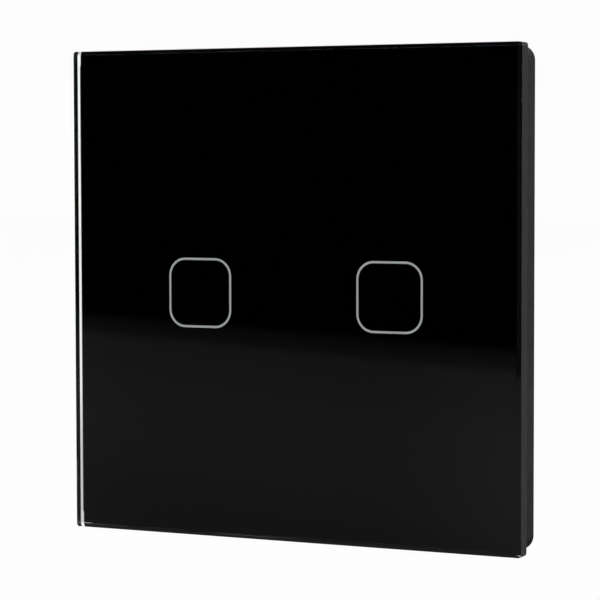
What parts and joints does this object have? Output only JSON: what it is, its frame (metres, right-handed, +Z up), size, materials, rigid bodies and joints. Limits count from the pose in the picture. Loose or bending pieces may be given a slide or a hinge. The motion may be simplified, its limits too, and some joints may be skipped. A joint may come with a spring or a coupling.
{
  "type": "touch light switch",
  "caption": "Wall light switch with a flat black glass front, two outlined touch keys and a relay module with screw terminals behind it.",
  "frame": {"origin": "midpoint of the two box screws, on the wall plane", "axes": "+Z up, the glass front faces -Y, +X to the right of a viewer who faces the switch"},
  "size_m": [0.086, 0.035, 0.086],
  "materials": {
    "toughened_glass": "polished, ground and arrissed edges",
    "black_enamel": "fired black enamel",
    "pale_enamel": "pale translucent print",
    "foam_tape": "double-sided tape",
    "black_moulding": "fine moulded texture",
    "zinc_plated_steel": "bright zinc plate",
    "screw_steel": "zinc plated",
    "dark_screw_steel": "black zinc",
    "touch_circuit_board": "black solder mask",
    "conductive_foam": "closed-cell foam",
    "milky_light_guide": "milky acrylic",
    "led_body": "clear cap over phosphor",
    "chip_black": "moulded epoxy",
    "chip_ceramic": "ceramic with tinned ends",
    "header_plastic": "moulded",
    "gilt_pin": "gold flashed",
    "housing_moulding": "fine spark texture",
    "tray_moulding": "moulded",
    "mains_circuit_board": "green solder mask",
    "capacitor_sleeve": "shrink sleeve",
    "yellow_film_case": "moulded box",
    "fuse_case": "moulded box",
    "blue_varistor": "dipped epoxy",
    "ferrite": "sintered ferrite",
    "winding_tape": "polyester tape",
    "terminal_moulding": "moulded",
    "tinned_brass": "tinned",
    "relay_base_moulding": "moulded",
    "relay_case_moulding": "moulded",
    "copper_coil": "enamelled copper on a bobbin",
    "relay_iron": "plated iron",
    "contact_brass": "brass with a silver contact"
  },
  "bodies": {
    "root": {"board_carrier": "black_moulding", "carrier_screws": "dark_screw_steel", "chip_resistors": "chip_ceramic", "choke": "ferrite", "filter_capacitor": "yellow_film_case", "fuse": "fuse_case", "header_pins": "gilt_pin", "header_socket": "header_plastic", "header_strip": "header_plastic", "indicator_leds": "led_body", "insulating_tray": "tray_moulding", "light_guide_left": "milky_light_guide", "light_guide_right": "milky_light_guide", "module_housing": "housing_moulding", "mounting_plate": "zinc_plated_steel", "output_capacitor": "capacitor_sleeve", "power_board": "mains_circuit_board", "power_chip": "chip_black", "relay_base_left": "relay_base_moulding", "relay_base_right": "relay_base_moulding", "relay_case_left": "relay_case_moulding", "relay_case_right": "relay_case_moulding", "relay_coil_left": "copper_coil", "relay_coil_right": "copper_coil", "relay_contact_left": "contact_brass", "relay_contact_right": "contact_brass", "relay_frame_left": "relay_iron", "relay_frame_right": "relay_iron", "storage_capacitor": "capacitor_sleeve", "terminal_bars": "tinned_brass", "terminal_block": "terminal_moulding", "terminal_cover": "terminal_moulding", "touch_board": "touch_circuit_board", "touch_controller": "chip_black", "touch_pad_left": "conductive_foam", "touch_pad_right": "conductive_foam", "transformer_core": "ferrite", "transformer_winding": "winding_tape", "varistor": "blue_varistor"},
    "panel": {"glass_panel": "toughened_glass", "black_print": "black_enamel", "ring_left": "pale_enamel", "ring_right": "pale_enamel", "panel_tape": "foam_tape", "panel_frame": "black_moulding"},
    "mounting_screw_left": {"mounting_screw_left": "screw_steel"},
    "mounting_screw_right": {"mounting_screw_right": "screw_steel"},
    "terminal_screw_1": {"terminal_screw_1": "screw_steel"},
    "clamp_cage_1": {"clamp_cage_1": "zinc_plated_steel"},
    "terminal_screw_2": {"terminal_screw_2": "screw_steel"},
    "clamp_cage_2": {"clamp_cage_2": "zinc_plated_steel"},
    "terminal_screw_3": {"terminal_screw_3": "screw_steel"},
    "clamp_cage_3": {"clamp_cage_3": "zinc_plated_steel"},
    "terminal_screw_4": {"terminal_screw_4": "screw_steel"},
    "clamp_cage_4": {"clamp_cage_4": "zinc_plated_steel"},
    "relay_armature_left": {"relay_armature_left": "relay_iron"},
    "relay_armature_right": {"relay_armature_right": "relay_iron"}
  },
  "joints": [
    {"name": "panel_pull", "type": "slide", "parent": "root", "child": "panel", "axis": [0, -1, 0], "range_m": [0, 0.04]},
    {"name": "mounting_screw_left_turn", "type": "hinge", "parent": "root", "child": "mounting_screw_left", "pos_m": [-0.03015, 0, 0], "axis": [0, 1, 0], "continuous": true},
    {"name": "mounting_screw_right_turn", "type": "hinge", "parent": "root", "child": "mounting_screw_right", "pos_m": [0.03015, 0, 0], "axis": [0, 1, 0], "continuous": true},
    {"name": "terminal_screw_1_turn", "type": "hinge", "parent": "root", "child": "terminal_screw_1", "pos_m": [-0.0162, 0.02066, -0.0201], "axis": [0, -1, 0], "range_deg": [0, 1681]},
    {"name": "clamp_cage_1_rise", "type": "slide", "parent": "root", "child": "clamp_cage_1", "axis": [0, 1, 0], "range_m": [0, 0.0028]},
    {"name": "terminal_screw_2_turn", "type": "hinge", "parent": "root", "child": "terminal_screw_2", "pos_m": [-0.0054, 0.02066, -0.0201], "axis": [0, -1, 0], "range_deg": [0, 1681]},
    {"name": "clamp_cage_2_rise", "type": "slide", "parent": "root", "child": "clamp_cage_2", "axis": [0, 1, 0], "range_m": [0, 0.0028]},
    {"name": "terminal_screw_3_turn", "type": "hinge", "parent": "root", "child": "terminal_screw_3", "pos_m": [0.0054, 0.02066, -0.0201], "axis": [0, -1, 0], "range_deg": [0, 1681]},
    {"name": "clamp_cage_3_rise", "type": "slide", "parent": "root", "child": "clamp_cage_3", "axis": [0, 1, 0], "range_m": [0, 0.0028]},
    {"name": "terminal_screw_4_turn", "type": "hinge", "parent": "root", "child": "terminal_screw_4", "pos_m": [0.0162, 0.02066, -0.0201], "axis": [0, -1, 0], "range_deg": [0, 1681]},
    {"name": "clamp_cage_4_rise", "type": "slide", "parent": "root", "child": "clamp_cage_4", "axis": [0, 1, 0], "range_m": [0, 0.0028]},
    {"name": "relay_armature_left_tilt", "type": "hinge", "parent": "root", "child": "relay_armature_left", "pos_m": [-0.00705, 0.0175, -0.00735], "axis": [0, 0, -1], "range_deg": [0, 4.5], "stiffness_Nm_per_rad": 0.0004},
    {"name": "relay_armature_right_tilt", "type": "hinge", "parent": "root", "child": "relay_armature_right", "pos_m": [0.01275, 0.0175, -0.00735], "axis": [0, 0, -1], "range_deg": [0, 4.5], "stiffness_Nm_per_rad": 0.0004}
  ],
  "couplings": [
    {"joint": "terminal_screw_1_turn", "follows": "clamp_cage_1_rise", "rad_per_m": 10472},
    {"joint": "terminal_screw_2_turn", "follows": "clamp_cage_2_rise", "rad_per_m": 10472},
    {"joint": "terminal_screw_3_turn", "follows": "clamp_cage_3_rise", "rad_per_m": 10472},
    {"joint": "terminal_screw_4_turn", "follows": "clamp_cage_4_rise", "rad_per_m": 10472}
  ]
}
